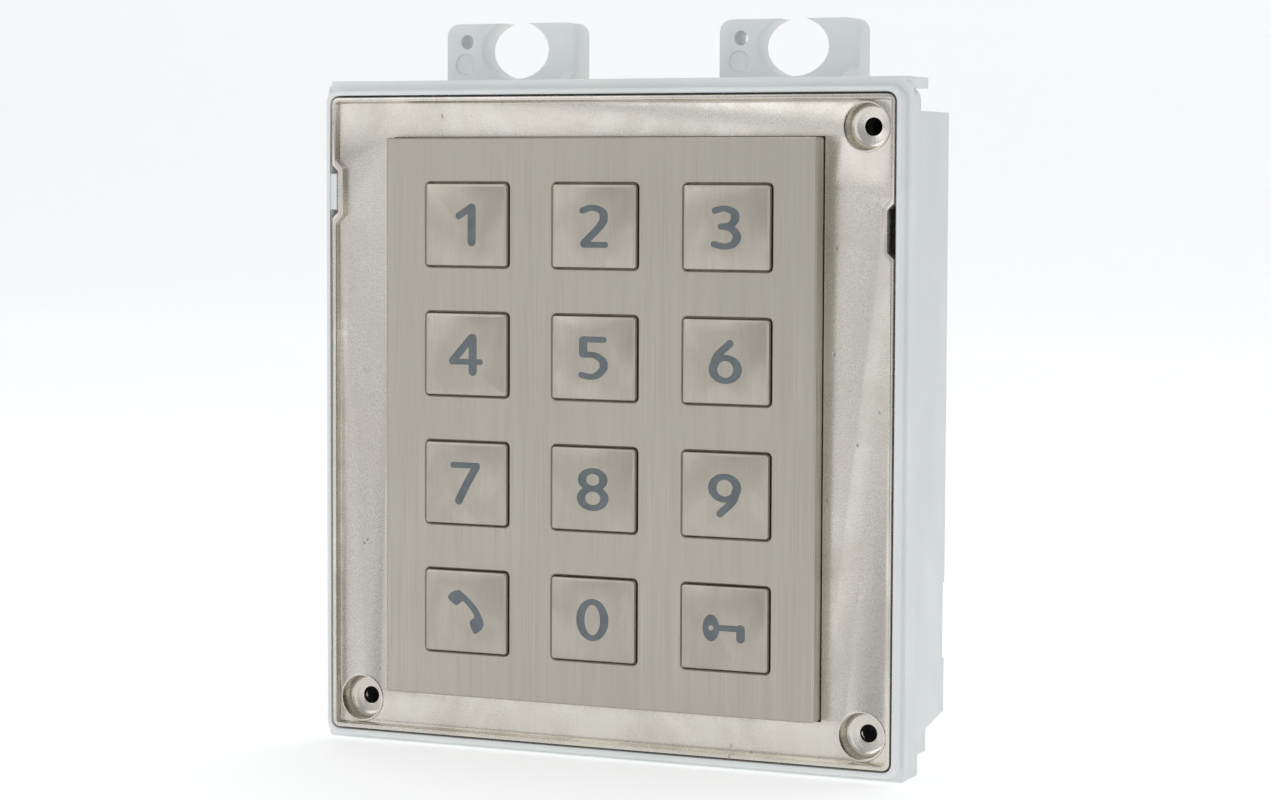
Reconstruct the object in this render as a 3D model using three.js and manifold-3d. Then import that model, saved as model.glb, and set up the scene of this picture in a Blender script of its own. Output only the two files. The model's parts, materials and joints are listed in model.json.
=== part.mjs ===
// Keypad module of a door entry unit: twelve metal keys in a raised plate, set in a die-cast
// bezel, over a backlit rubber key mat and circuit board, in a moulded housing with two ears.
// Millimetres, +X right, +Y back towards the wall, +Z up. The origin is the middle of the
// rear mounting face. Depths are counted from the front edge of the housing's rim.
import * as THREE from "three";
import { mergeVertices } from "three/addons/utils/BufferGeometryUtils.js";
import Module from "manifold-3d";

const wasm = await Module();
wasm.setup();

// Overall sizes
const bodyDepth = 21.4;
const bezelWidth = 96.6;
const bezelHeight = 102;

// Clearances
const seat = 0.05; // faces that touch
const plateGap = 0.12; // raised plate in the bezel's opening
const bezelGap = 0.3; // bezel inside the rim
const keyGap = 0.16; // key in its window
const runningGap = 0.5; // rubber collar round a moving stem
const innerGap = 0.3; // hidden pieces beside each other

// Bezel
const bezelCorner = 1.2;
const beadCrest = 0.65;
const beadWidth = 0.95; // down at the field
const bezelEdge = 0.12;
const notchBead = 1.25; // bead round the side notches, down at the field
const fieldDepth = 1.2;
const bezelPlate = 1.7;
const bossEdge = 0.5; // cup's wall to the bezel's edge
const recessRadius = 3.6;
const recessFillet = 1.1;
const recessDepth = 4.1;
const recessFloor = 1.2;
const recessLip = 0.3;
const cupWall = 0.8;
const screwHoleRadius = 1.4;
const notchDepth = 1.1;
const leftNotch = { z: 35.9, height: 6.6 }; // height of the straight side, before its sloped ends
const rightNotch = { z: 30.4, height: 6.2 };

// Raised plate and keys
const columns = 3;
const rows = 4;
const fieldWidthX = 11.35;
const fieldWidthZ = 6.6;
const plateShift = { x: -0.36, z: 0.13 }; // plate's middle from the bezel's middle
const plateRise = 2.9; // above the bezel's field
const plateSheet = 1.2;
const plateWall = 1.4;
const plateEdge = 0.25;
const lipSide = 1.6;
const lipEnd = 4;
const lipThickness = 1.3;
const lipEndInset = 4.9;
const keyMarginX = 7.35;
const keyMarginZ = 7.2;
const keySpaceX = 7.85;
const keySpaceZ = 7.4;
const keyCorner = 0.55;
const keyBevel = 0.5;
const keyProud = 0.5;
const keyTravel = 1;
const keyFlange = 0.85;
const keyFlangeThickness = 1;
const windowRound = 0.2;
const stemRadius = 2.8;
const padRadius = 2;
const padThickness = 0.6;
const legendDepth = 0.4;
const legendClear = 0.05;

// Housing
const rimWall = 0.85;
const rimRound = 0.35;
const flangeCorner = 0.6;
const flangeStepX = 0.6;
const flangeStepZ = 0.75;
const shelfStep = 1.5; // top shelf above the rim
const flangeFront = 2;
const flangeThickness = 1.6;
const frameDepth = 8.6;
const topPlateDepth = 11.4;
const bottomPlateDepth = 9.2;
const edgePlate = 1.7;
const boxStep = 0.2;
const boxDrop = 3.6;
const boxRise = 5.3;
const boxSlopeStart = 11.2;
const boxSlope = 2.2;
const boxWall = 3;
const boxWallZ = 1.9;
const backWall = 1.8;
const ledgeZ = 1.9;
const gasketThickness = 0.7;
const gasketInset = 2.1;
const postRadius = 3.7;
const postBore = 2.4;
const sealBore = 1.45;
const sealFlange = { radius: 3.4, thickness: 0.6 };
const sealEnd = 0.6; // sleeve's back end inside the post
const postDepth = 13.4;
const hookHeight = 5.8;
const hookFront = 0.2;
const cableNotch = { z: -30.4, height: 11.7, depth: 0.8, width: 1.2 };

// Ears
const earSpacing = 48.6;
const earWidth = 23.6;
const earRise = 11.1; // above the rim's top edge
const earThickness = 4.8;
const earCorner = 2;
const earHook = { x: 0.65, drop: 4.35, radiusX: 6.1, radiusZ: 4.7 };
const earHole = { x: -8.1, drop: 2.95, radius: 1.15 };
const earMark = { x: -8.5, drop: 6.6, radius: 1.65, depth: 0.2 };
const gussetLength = 5;
const gussetWidth = 1.4;

// Mat, light guide and board
const boardThickness = 1.6;
const matSheet = 1;
const matRimWall = 1.5;
const matRimSpace = 4.3; // from the outer collars to the rim
const collarWall = 0.9;
const guideThickness = 1.4;
const ledLength = 3;
const ledWidth = 1.4;
const ledHeight = 0.8;
const boardEdge = 0.8;
const standoffRadius = 2.8;
const screwShank = 0.8;
const screwLength = 6;
const boardHead = { radius: 2.2, height: 1.2 };
const lipHead = { radius: 1.8, height: 1.2 };
const lipScrewInset = 6.1; // from the end of the faceplate's lip
const lipScrewEnd = 0.5; // metal left in front of the pilot hole
const socket = { x: 15, z: -31, width: 9.5, height: 7.5, wall: 1.2, depth: 7 };
const chips = {
  controller_chip: { x: -15, z: 14, size: 10, height: 1.4 },
};

// Worked out from the sizes above
const halfX = bezelWidth / 2;
const halfZ = bezelHeight / 2;
const bezelBack = fieldDepth + bezelPlate;
const ledgeDepth = bezelBack + gasketThickness + 2 * seat;
const cupRadius = recessRadius + cupWall;
const bossX = halfX - cupRadius - bossEdge;
const bossZ = halfZ - cupRadius - bossEdge;
const cupBack = recessDepth + recessFloor;
const sealBack = cupBack + sealFlange.thickness + 2 * seat;
const bosses = [
  [bossX, bossZ],
  [-bossX, -bossZ],
  [bossX, -bossZ],
];
const sideGaps = [
  [-1, leftNotch],
  [1, rightNotch],
];
const plateX = halfX - fieldWidthX;
const plateZ = halfZ - fieldWidthZ;
const plateFront = fieldDepth - plateRise;
const plateInside = plateFront + plateSheet;
const lipFront = bezelBack + seat * 2;
const lipBack = lipFront + lipThickness;
const lipEndX = bossX - cupRadius - lipEndInset;
const lipScrewX = lipEndX - lipScrewInset;
const lipSideZ = bossZ - cupRadius - lipEndInset;
const keyWidth = (2 * (plateX - keyMarginX) - (columns - 1) * keySpaceX) / columns;
const keyHeight = (2 * (plateZ - keyMarginZ) - (rows - 1) * keySpaceZ) / rows;
const pitchX = keyWidth + keySpaceX;
const pitchZ = keyHeight + keySpaceZ;
const keyFront = plateFront - keyProud;
const flangeBack = plateInside + seat * 2 + keyFlangeThickness;
const rimX = halfX + bezelGap;
const rimZ = halfZ + bezelGap;
const frameX = rimX + rimWall;
const frameZ = rimZ + rimWall;
const boxX = frameX - boxStep;
const boxTop = frameZ - boxDrop;
const boxBottom = -frameZ + boxRise;
const cavityX = boxX - boxWall;
const cavityTop = boxTop - boxWallZ;
const cavityBottom = boxBottom + boxWallZ;
const ledgeInnerZ = rimZ - ledgeZ;
const cavityBack = bodyDepth - backWall;
const collarFront = flangeBack + keyTravel + runningGap - seat * 2;
const guideFront = collarFront + 4 * seat;
const matRimFront = guideFront + guideThickness + seat;
const lipHeadBack = lipBack + seat + lipHead.height;
const matFront = Math.max(lipHeadBack, matRimFront + 1.9);
const boardFront = matFront + matSheet + seat;
const boardBack = boardFront + boardThickness;
const padBack = boardFront - keyTravel - seat * 2;
const padFront = padBack - padThickness;
const collarInner = stemRadius + runningGap;
const collarOuter = collarInner + collarWall;
const matX = ((columns - 1) / 2) * pitchX + collarOuter + matRimSpace;
const matZ = ((rows - 1) / 2) * pitchZ + collarOuter + matRimSpace;
const boardX = bossX - postRadius - innerGap;
const boardZ = Math.min(cavityTop, -cavityBottom) - boardEdge;
const standoffX = boardX - standoffRadius - innerGap;
const standoffZ = boardZ - standoffRadius - innerGap;

const toY = (depth) => depth - bodyDepth;

// From the middle of the raised plate to the middle of the bezel
const onPlate = (body) => body.translate([plateShift.x, 0, plateShift.z]);

// A closed geometry, as a solid that can be joined and cut
function solid(geometry) {
  geometry.deleteAttribute("normal");
  geometry.deleteAttribute("uv");
  const merged = mergeVertices(geometry, 1e-4);
  return new wasm.Manifold(
    new wasm.Mesh({
      numProp: 3,
      vertProperties: merged.attributes.position.array,
      triVerts: new Uint32Array(merged.index.array),
    }),
  );
}

const join = (first, ...others) => others.reduce((sum, next) => sum.add(next), first);
const cut = (first, ...others) => others.reduce((rest, next) => rest.subtract(next), first);

function block(x0, x1, depth0, depth1, z0, z1) {
  const box = new THREE.BoxGeometry(x1 - x0, depth1 - depth0, z1 - z0);
  return solid(box.translate((x0 + x1) / 2, toY((depth0 + depth1) / 2), (z0 + z1) / 2));
}

const slab = (x, z, depth0, depth1) => block(-x, x, depth0, depth1, -z, z);

function rod(x, z, radius, depth0, depth1, sides = 32) {
  const cylinder = new THREE.CylinderGeometry(radius, radius, depth1 - depth0, sides);
  return solid(cylinder.translate(x, toY((depth0 + depth1) / 2), z));
}

// An outline in x and z, given a thickness along Y
function prism(shape, depth0, depth1, curveSegments = 2) {
  const options = { depth: depth1 - depth0, bevelEnabled: false, curveSegments };
  const extruded = new THREE.ExtrudeGeometry(shape, options).rotateX(Math.PI / 2);
  return solid(extruded.translate(0, toY(depth1), 0));
}

// The same with its front and back edges bevelled inside the outline
function bevelled(shape, depth0, depth1, bevel, steps = 1, inset = bevel) {
  const options = {
    depth: depth1 - depth0 - 2 * bevel,
    bevelThickness: bevel,
    bevelSize: inset,
    bevelOffset: -inset,
    bevelSegments: steps,
    curveSegments: 2,
  };
  const extruded = new THREE.ExtrudeGeometry(shape, options).rotateX(Math.PI / 2);
  return solid(extruded.translate(0, toY(depth1 - bevel), 0));
}

function roundedRect(x, z, radius, centreX = 0, centreZ = 0) {
  const shape = new THREE.Shape();
  shape.absarc(centreX + x - radius, centreZ + z - radius, radius, 0, Math.PI / 2);
  shape.absarc(centreX - x + radius, centreZ + z - radius, radius, Math.PI / 2, Math.PI);
  shape.absarc(centreX - x + radius, centreZ - z + radius, radius, Math.PI, 1.5 * Math.PI);
  shape.absarc(centreX + x - radius, centreZ - z + radius, radius, 1.5 * Math.PI, 2 * Math.PI);
  return shape;
}

function ellipse(x, z, radiusX, radiusZ) {
  return new THREE.Shape().absellipse(x, z, radiusX, radiusZ, 0, 2 * Math.PI);
}

// A profile of [radius, depth] pairs turned round an axis along Y
function turned(profile, x, z, sides = 32) {
  const points = profile.map(([radius, depth]) => new THREE.Vector2(radius, toY(depth)));
  return solid(new THREE.LatheGeometry(points, sides).translate(x, 0, z));
}

const meshes = new THREE.Group();

function addPart(name, body, material) {
  const made = body.getMesh();
  const geometry = new THREE.BufferGeometry();
  geometry.setAttribute("position", new THREE.BufferAttribute(made.vertProperties, 3));
  geometry.setIndex(new THREE.BufferAttribute(made.triVerts, 1));
  geometry.computeVertexNormals();
  const mesh = new THREE.Mesh(geometry, material);
  mesh.name = name;
  meshes.add(mesh);
}

const material = (color, roughness, metalness) =>
  new THREE.MeshStandardMaterial({ color, roughness, metalness });
const materials = {
  housing: material(0xe2e7e6, 0.45, 0),
  nickel: material(0xbdb8ab, 0.38, 1),
  brushed: material(0xa9a598, 0.42, 1),
  key: material(0xb9b3a6, 0.4, 1),
  legend: material(0x66747b, 0.5, 0),
  rubber: material(0x2b2d2e, 0.8, 0),
  silicone: material(0xd9dcd6, 0.6, 0),
  guide: material(0xdfe8ea, 0.15, 0),
  board: material(0x1f5a3a, 0.5, 0),
  chip: material(0x1b1c1d, 0.5, 0),
  socket: material(0x202224, 0.5, 0),
  led: material(0xf3efdc, 0.3, 0),
  steel: material(0x8f9296, 0.35, 1),
};

// The outline of a gap in one side of the bezel, with sloped ends, or the same grown all round
function notchShape(side, notch, grow) {
  const inner = halfX - notchDepth - grow;
  const half = notch.height / 2 + grow * Math.tan(Math.PI / 8);
  const past = halfX + 1;
  const flare = half + past - inner;
  const shape = new THREE.Shape();
  shape.moveTo(side * inner, notch.z - half);
  shape.lineTo(side * past, notch.z - flare);
  shape.lineTo(side * past, notch.z + flare);
  shape.lineTo(side * inner, notch.z + half);
  return shape;
}

function frontBezel() {
  const outline = roundedRect(halfX, halfZ, bezelCorner);
  const body = bevelled(outline, 0, bezelBack, bezelEdge);
  const slope = beadWidth - beadCrest;
  const inside = roundedRect(halfX - beadCrest, halfZ - beadCrest, bezelCorner - beadCrest);
  const field = bevelled(inside, -4 * fieldDepth, fieldDepth, fieldDepth, 1, slope);
  const jogs = sideGaps.map(([side, notch]) =>
    bevelled(notchShape(side, notch, notchBead), 0, 4 * fieldDepth, fieldDepth, 1, slope));
  const gaps = sideGaps.map(([side, notch]) =>
    prism(notchShape(side, notch, 0), -1, bezelBack + 1));
  const lips = bosses.map(([x, z]) =>
    rod(x, z, recessRadius + recessLip, fieldDepth - recessLip, bezelBack, 28));
  const cups = bosses.map(([x, z]) => rod(x, z, cupRadius, fieldDepth + 0.1, cupBack, 24));
  const filled = join(cut(body, field), ...jogs.map((jog) => jog.intersect(body)), ...lips, ...cups);
  const opening = onPlate(slab(plateX + plateGap, plateZ + plateGap, -1, bezelBack + 1));
  const fillet = [1, 2, 3].map((step) => {
    const turn = (step / 4) * (Math.PI / 2);
    return [
      recessRadius - recessFillet * (1 - Math.cos(turn)),
      recessDepth - recessFillet * (1 - Math.sin(turn)),
    ];
  });
  const recessProfile = [
    [0, -1],
    [recessRadius, -1],
    [recessRadius, recessDepth - recessFillet],
    ...fillet,
    [recessRadius - recessFillet, recessDepth],
    [0, recessDepth],
  ];
  const recesses = bosses.map(([x, z]) => turned(recessProfile, x, z, 28));
  const holes = bosses.map(([x, z]) => rod(x, z, screwHoleRadius, recessDepth - 1, cupBack + 1, 16));
  const pilots = lipScrews().map(([x, z]) =>
    onPlate(rod(x, z, screwShank + seat, fieldDepth + lipScrewEnd, bezelBack + 1, 12)));
  return cut(filled, opening, ...gaps, ...recesses, ...holes, ...pilots);
}

function lipScrews() {
  const z = plateZ + lipEnd / 2;
  return [
    [-lipScrewX, z],
    [lipScrewX, z],
    [-lipScrewX, -z],
    [lipScrewX, -z],
  ];
}

// The keys' places, left to right and top to bottom
function keyPlaces() {
  const places = [];
  for (let row = 0; row < rows; row += 1)
    for (let column = 0; column < columns; column += 1)
      places.push([
        (column - (columns - 1) / 2) * pitchX,
        ((rows - 1) / 2 - row) * pitchZ,
      ]);
  return places;
}

function keypadFaceplate() {
  const top = bevelled(roundedRect(plateX, plateZ, 0.4), plateFront, lipBack, plateEdge);
  const sideLip = slab(plateX + lipSide, lipSideZ, lipFront, lipBack);
  const endLip = slab(lipEndX, plateZ + lipEnd, lipFront, lipBack);
  const inside = slab(plateX - plateWall, plateZ - plateWall, plateInside, lipBack + 1);
  const windows = keyPlaces().flatMap(([x, z]) => {
    const halfW = keyWidth / 2 + keyGap;
    const halfH = keyHeight / 2 + keyGap;
    const straight = roundedRect(halfW, halfH, keyCorner + keyGap, x, z);
    const wide = roundedRect(halfW + windowRound, halfH + windowRound,
      keyCorner + keyGap + windowRound, x, z);
    return [
      prism(straight, plateFront - 1, plateInside + 1),
      bevelled(wide, plateFront - 2 * windowRound, plateFront + windowRound, windowRound),
    ];
  });
  const shanks = lipScrews().map(([x, z]) =>
    rod(x, z, screwShank + 2 * seat, lipFront - 1, lipBack + 1, 12));
  return onPlate(cut(join(top, sideLip, endLip), inside, ...windows, ...shanks));
}

// Pan head screw along Y, its head's flat underside at one depth and its shank pointing forward or back
function screw(x, z, head, underside, length, forward) {
  const way = forward ? -1 : 1;
  const profile = [
    [0, underside - way * head.height],
    [head.radius * 0.75, underside - way * head.height],
    [head.radius, underside - way * head.height * 0.5],
    [head.radius, underside],
    [screwShank, underside],
    [screwShank, underside + way * length],
    [0, underside + way * length],
  ];
  const body = turned(forward ? profile.toReversed() : profile, x, z, 12);
  const slotDepth = [underside - way * head.height * 0.5, underside - way * (head.height + 1)];
  const [near, far] = slotDepth.toSorted((a, b) => a - b);
  const slots = [
    block(x - head.radius * 0.5, x + head.radius * 0.5, near, far, z - 0.25, z + 0.25),
    block(x - 0.25, x + 0.25, near, far, z - head.radius * 0.5, z + head.radius * 0.5),
  ];
  return cut(body, ...slots);
}

// Strokes of a legend, x right and z up from its middle. A stroke is drawn as with a broad pen,
// heavy where it is upright and light where it is level.
const heavy = 1.35;
const light = 0.85;

function stroke(points, grow, steps = 3) {
  const curve = new THREE.CatmullRomCurve3(points.map(([x, z]) => new THREE.Vector3(x, z, 0)));
  const count = points.length > 2 ? (points.length - 1) * steps : 1;
  const sides = [[], []];
  const ends = [];
  for (let i = 0; i <= count; i += 1) {
    const at = curve.getPoint(i / count);
    const along = curve.getTangent(i / count);
    const half = Math.hypot(heavy * along.y, light * along.x) / 2 + grow;
    sides[0].push(new THREE.Vector2(at.x - along.y * half, at.y + along.x * half));
    sides[1].push(new THREE.Vector2(at.x + along.y * half, at.y - along.x * half));
    if (i === 0 || i === count) ends.push({ at, half, angle: Math.atan2(along.y, along.x) });
  }
  const outline = new THREE.Shape(sides[1]);
  outline.absarc(ends[1].at.x, ends[1].at.y, ends[1].half,
    ends[1].angle - Math.PI / 2, ends[1].angle + Math.PI / 2);
  sides[0].toReversed().forEach((point) => outline.lineTo(point.x, point.y));
  outline.absarc(ends[0].at.x, ends[0].at.y, ends[0].half,
    ends[0].angle + Math.PI / 2, ends[0].angle + 1.5 * Math.PI);
  return outline;
}

// A loop, stated by the radii of the middle of its stroke
function loop([x, z, radiusX, radiusZ], grow) {
  const shape = ellipse(x, z, radiusX + heavy / 2 + grow, radiusZ + light / 2 + grow);
  shape.holes.push(ellipse(x, z, radiusX - heavy / 2 - grow, radiusZ - light / 2 - grow));
  return shape;
}

// A closed outline moved outwards by grow, corner by corner
function outlineShape(points, grow) {
  const last = points.length - 1;
  const moved = points.map(([x, z], i) => {
    const [ax, az] = points[i === 0 ? last : i - 1];
    const [bx, bz] = points[i === last ? 0 : i + 1];
    const length = Math.hypot(bx - ax, bz - az);
    return new THREE.Vector2(x + ((bz - az) / length) * grow, z - ((bx - ax) / length) * grow);
  });
  return new THREE.Shape(moved);
}

const sixLoop = [0, -1.15, 2.05, 1.75];
const sixTail = [[-1.98, -0.9], [-1.25, 0.95], [0.75, 2.8]];
const turnedRound = (points) => points.map(([x, z]) => [-x, -z]);
const handset = [
  [-3.1, 2.1], [-1.9, 1.1], [-1.4, 1.1], [-0.7, 1.6], [-0.3, 1.65], [0.6, 0.8], [1.65, -0.65],
  [0.9, -1.4], [0.85, -1.95], [1.4, -3.2], [1.9, -3.35], [2.85, -2.6], [3.2, -1.65], [2.75, -0.5],
  [2.1, 0.6], [0.85, 1.9], [-0.85, 3.25], [-1.4, 3.35], [-2.5, 2.95],
];
const legends = [
  { name: "1", strokes: [[[-1.25, 1.4], [0.8, 2.7]], [[1.05, 2.65], [1.05, -2.65]]] },
  { name: "2", strokes: [
    [[-1.95, 2.4], [-0.3, 2.85], [1.3, 2.4], [1.75, 1.4], [1.2, 0.1], [-1.7, -2.7]],
    [[-1.75, -2.88], [2.05, -2.88]]] },
  { name: "3", strokes: [
    [[-1.9, 2.55], [-0.3, 2.88], [1.2, 2.35], [1.45, 1.25], [0.6, 0.3], [-0.9, 0.05]],
    [[-0.9, 0.05], [0.8, -0.1], [1.85, -1.35], [1.05, -2.6], [-0.4, -2.9], [-2.05, -2.6]]] },
  { name: "4", strokes: [
    [[1.25, 2.6], [1.25, -2.65]], [[0.95, 2.6], [-2.35, -1.05]], [[-2.4, -1.15], [2.6, -1.15]]] },
  { name: "5", strokes: [
    [[-1.8, 2.88], [1.85, 2.88]], [[-1.72, 2.65], [-1.72, 0.75]],
    [[-1.8, 0.5], [0.2, 0.45], [1.6, -0.4], [1.75, -1.6], [0.6, -2.7], [-0.7, -2.9], [-2.05, -2.65]]] },
  { name: "6", loops: [sixLoop], strokes: [sixTail] },
  { name: "7", strokes: [[[-2.25, 2.88], [2.1, 2.88]], [[1.9, 2.7], [0.15, -0.2], [-1.2, -2.75]]] },
  { name: "8", loops: [[0, 1.5, 1.85, 1.38], [0, -1.4, 2.03, 1.5]] },
  { name: "9", loops: turnedRound([sixLoop]).map(([x, z]) => [x, z, sixLoop[2], sixLoop[3]]),
    strokes: [turnedRound(sixTail)] },
  { name: "call", outline: handset },
  { name: "0", loops: [[0, 0, 2.07, 2.85]] },
  { name: "open", bow: [-2.15, 0, 1.35, 2.03, 0.45],
    strokes: [[[-1, 0.05], [2.9, 0.05]], [[2.8, 0], [2.8, -1.4]]] },
];

function legendBody(legend, grow, x, z, depth0, depth1) {
  const shapes = [
    ...(legend.strokes ?? []).map((points) => stroke(points, grow)),
  ];
  const rings = (legend.loops ?? []).map((ring) => loop(ring, grow));
  if (legend.outline) shapes.push(outlineShape(legend.outline, grow));
  if (legend.bow) {
    const [bowX, bowZ, radiusX, radiusZ, eye] = legend.bow;
    const bow = ellipse(bowX, bowZ, radiusX + grow, radiusZ + grow);
    bow.holes.push(ellipse(bowX, bowZ, eye - grow, eye - grow));
    rings.push(bow);
  }
  const bodies = [
    ...shapes.map((shape) => prism(shape, depth0, depth1)),
    ...rings.map((shape) => prism(shape, depth0, depth1, 9)),
  ];
  return join(...bodies).translate([x, 0, z]);
}

function addKey(index, [x, z]) {
  const legend = legends[index];
  const outline = roundedRect(keyWidth / 2, keyHeight / 2, keyCorner, x, z);
  const flangeFront = flangeBack - keyFlangeThickness;
  const cap = bevelled(outline, keyFront, flangeBack, keyBevel);
  const flange = block(
    x - keyWidth / 2 - keyFlange, x + keyWidth / 2 + keyFlange, flangeFront, flangeBack,
    z - keyHeight / 2 - keyFlange, z + keyHeight / 2 + keyFlange);
  const stem = rod(x, z, stemRadius, flangeBack - 0.5, padFront - seat, 16);
  const engraving = legendBody(legend, legendClear, x, z, keyFront - 1, keyFront + legendDepth);
  addPart("key_cap_" + legend.name, onPlate(cut(join(cap, flange, stem), engraving)), materials.key);
  const fill = legendBody(legend, 0, x, z, keyFront, keyFront + legendDepth - seat);
  addPart("key_legend_" + legend.name, onPlate(fill), materials.legend);
  const pad = rod(x, z, padRadius, padFront, padBack, 12);
  addPart("contact_pad_" + legend.name, onPlate(pad), materials.rubber);
}

function gasket() {
  const front = bezelBack + seat;
  const back = front + gasketThickness;
  const outer = roundedRect(halfX - seat, halfZ - seat, bezelCorner);
  const inner = slab(halfX - gasketInset, halfZ - gasketInset, front - 1, back + 1);
  const collars = bosses.map(([x, z]) => rod(x, z, cupRadius + innerGap + 1.2, front, back, 20));
  const ring = join(cut(prism(outer, front, back), inner), ...collars);
  const limit = prism(outer, front, back);
  const cups = bosses.map(([x, z]) => rod(x, z, cupRadius + innerGap, front - 1, back + 1, 20));
  const endLip = slab(lipEndX + innerGap, plateZ + lipEnd + innerGap, 0, back + 1);
  const sideLip = slab(plateX + lipSide + innerGap, plateZ + innerGap, 0, back + 1);
  const gap = prism(notchShape(-1, leftNotch, 0), front - 1, back + 1);
  return cut(ring.intersect(limit), ...cups, onPlate(endLip), onPlate(sideLip), gap);
}

function rearHousing() {
  const rim = bevelled(roundedRect(frameX, frameZ, 2), 0, frameDepth, rimRound, 2);
  const flange = prism(
    roundedRect(frameX + flangeStepX, frameZ + flangeStepZ, flangeCorner),
    flangeFront, flangeFront + flangeThickness);
  const topPlate = block(
    -frameX, frameX, flangeFront, topPlateDepth, frameZ + shelfStep - edgePlate, frameZ + shelfStep);
  const bottomPlate = block(
    -frameX, frameX, flangeFront, bottomPlateDepth, -frameZ - flangeStepZ, -frameZ + boxRise / 2);
  const box = sideBody(boxTop, boxBottom, frameDepth - 1, bodyDepth, boxX);
  const posts = bosses.map(([x, z]) => rod(x, z, postRadius, ledgeDepth, postDepth, 24));
  const feet = [[-boxX, -bossX], [bossX, boxX]].map(([x0, x1]) =>
    block(x0, x1, frameDepth - 1, postDepth, -bossZ - postRadius, boxBottom + 1));
  const outside = join(rim, flange, topPlate, bottomPlate, box, ...ears());
  const mouth = prism(roundedRect(rimX, rimZ, bezelCorner + bezelGap), -1, ledgeDepth);
  const ledge = slab(cavityX, ledgeInnerZ, 0, frameDepth - 1);
  const cavity = sideBody(cavityTop, cavityBottom, ledgeDepth, cavityBack, cavityX);
  const hollow = join(outside.subtract(mouth).subtract(ledge).subtract(cavity), ...posts, ...feet);
  const cups = bosses.map(([x, z]) =>
    rod(x, z, cupRadius + innerGap, -1, sealBack, 24));
  const bores = bosses.map(([x, z]) => rod(x, z, postBore, 0, postDepth + 1, 16));
  const standoffs = standoffPlaces().map(([x, z]) =>
    rod(x, z, standoffRadius, boardBack + seat, cavityBack + 0.5, 16));
  const pilots = standoffPlaces().map(([x, z]) =>
    rod(x, z, screwShank + seat, boardBack - 1, boardFront + screwLength + 1, 12));
  const windows = [-1, 1].map((side) => socketSpace(side, seat * 4, cavityBack - 1, bodyDepth + 1));
  const relief = block(
    boxX - cableNotch.width, boxX + 1, bodyDepth - cableNotch.depth, bodyDepth + 1,
    cableNotch.z - cableNotch.height / 2, cableNotch.z + cableNotch.height / 2);
  const hook = block(
    -rimX - 0.1, -halfX + notchDepth - innerGap, hookFront, ledgeDepth + 0.5,
    leftNotch.z - hookHeight / 2, leftNotch.z + hookHeight / 2);
  const body = cut(join(hollow, ...standoffs), ...cups, ...bores, ...pilots, ...windows, relief);
  return body.add(hook);
}

// Rubber sleeve for a mounting screw, its flange between the cup's back and the post
function screwSeal([x, z]) {
  const front = cupBack + seat;
  const flange = rod(x, z, sealFlange.radius, front, front + sealFlange.thickness, 24);
  const sleeve = rod(x, z, postBore - seat, front, postDepth - sealEnd, 16);
  return cut(join(flange, sleeve), rod(x, z, sealBore, 0, postDepth + 1, 16));
}

function sideBody(top, bottom, front, back, x) {
  const slope = ((back - boxSlopeStart) / (bodyDepth - boxSlopeStart)) * boxSlope;
  const outline = new THREE.Shape();
  outline.moveTo(toY(front), bottom);
  outline.lineTo(toY(boxSlopeStart), bottom);
  outline.lineTo(toY(back), bottom + slope);
  outline.lineTo(toY(back), top);
  outline.lineTo(toY(front), top);
  const extruded = new THREE.ExtrudeGeometry(outline, { depth: 2 * x, bevelEnabled: false });
  // The outline's first axis becomes Y, its second Z, and its thickness X
  const turn = new THREE.Matrix4().set(0, 0, 1, -x, 1, 0, 0, 0, 0, 1, 0, 0, 0, 0, 0, 1);
  return solid(extruded.applyMatrix4(turn));
}

function ears() {
  const top = frameZ + earRise;
  const front = bodyDepth - earThickness;
  return [-1, 1].map((side) => {
    const x = (side * earSpacing) / 2;
    const height = top - boxTop + 1;
    const plate = prism(
      roundedRect(earWidth / 2, height / 2, earCorner, x, top - height / 2), front, bodyDepth);
    const web = block(
      x - earWidth / 2, x + earWidth / 2, frameDepth - 1, bodyDepth, boxTop - 1, frameZ + shelfStep);
    const hook = prism(
      ellipse(x + earHook.x, top - earHook.drop, earHook.radiusX, earHook.radiusZ),
      front - 1, bodyDepth + 1, 12);
    const hole = rod(x + earHole.x, top - earHole.drop, earHole.radius, front - 1, bodyDepth + 1, 16);
    const mark = rod(
      x + earMark.x, top - earMark.drop, earMark.radius, front - 1, front + earMark.depth, 16);
    const gusset = earGusset(x + earWidth / 2 - gussetWidth, front);
    return cut(join(plate, web, gusset), hook, hole, mark);
  });
}

// A small web in the corner between an ear and the shelf in front of it
function earGusset(x, front) {
  const base = frameZ + shelfStep - 0.2;
  const outline = new THREE.Shape();
  outline.moveTo(toY(front - gussetLength), base);
  outline.lineTo(toY(front + 0.5), base);
  outline.lineTo(toY(front + 0.5), base + gussetLength / 2);
  const extruded = new THREE.ExtrudeGeometry(outline, { depth: gussetWidth, bevelEnabled: false });
  const turn = new THREE.Matrix4().set(0, 0, 1, x, 1, 0, 0, 0, 0, 1, 0, 0, 0, 0, 0, 1);
  return solid(extruded.applyMatrix4(turn));
}

function standoffPlaces() {
  return [
    [-standoffX, standoffZ],
    [standoffX, standoffZ],
    [-standoffX, -standoffZ],
    [standoffX, -standoffZ],
  ];
}

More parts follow.
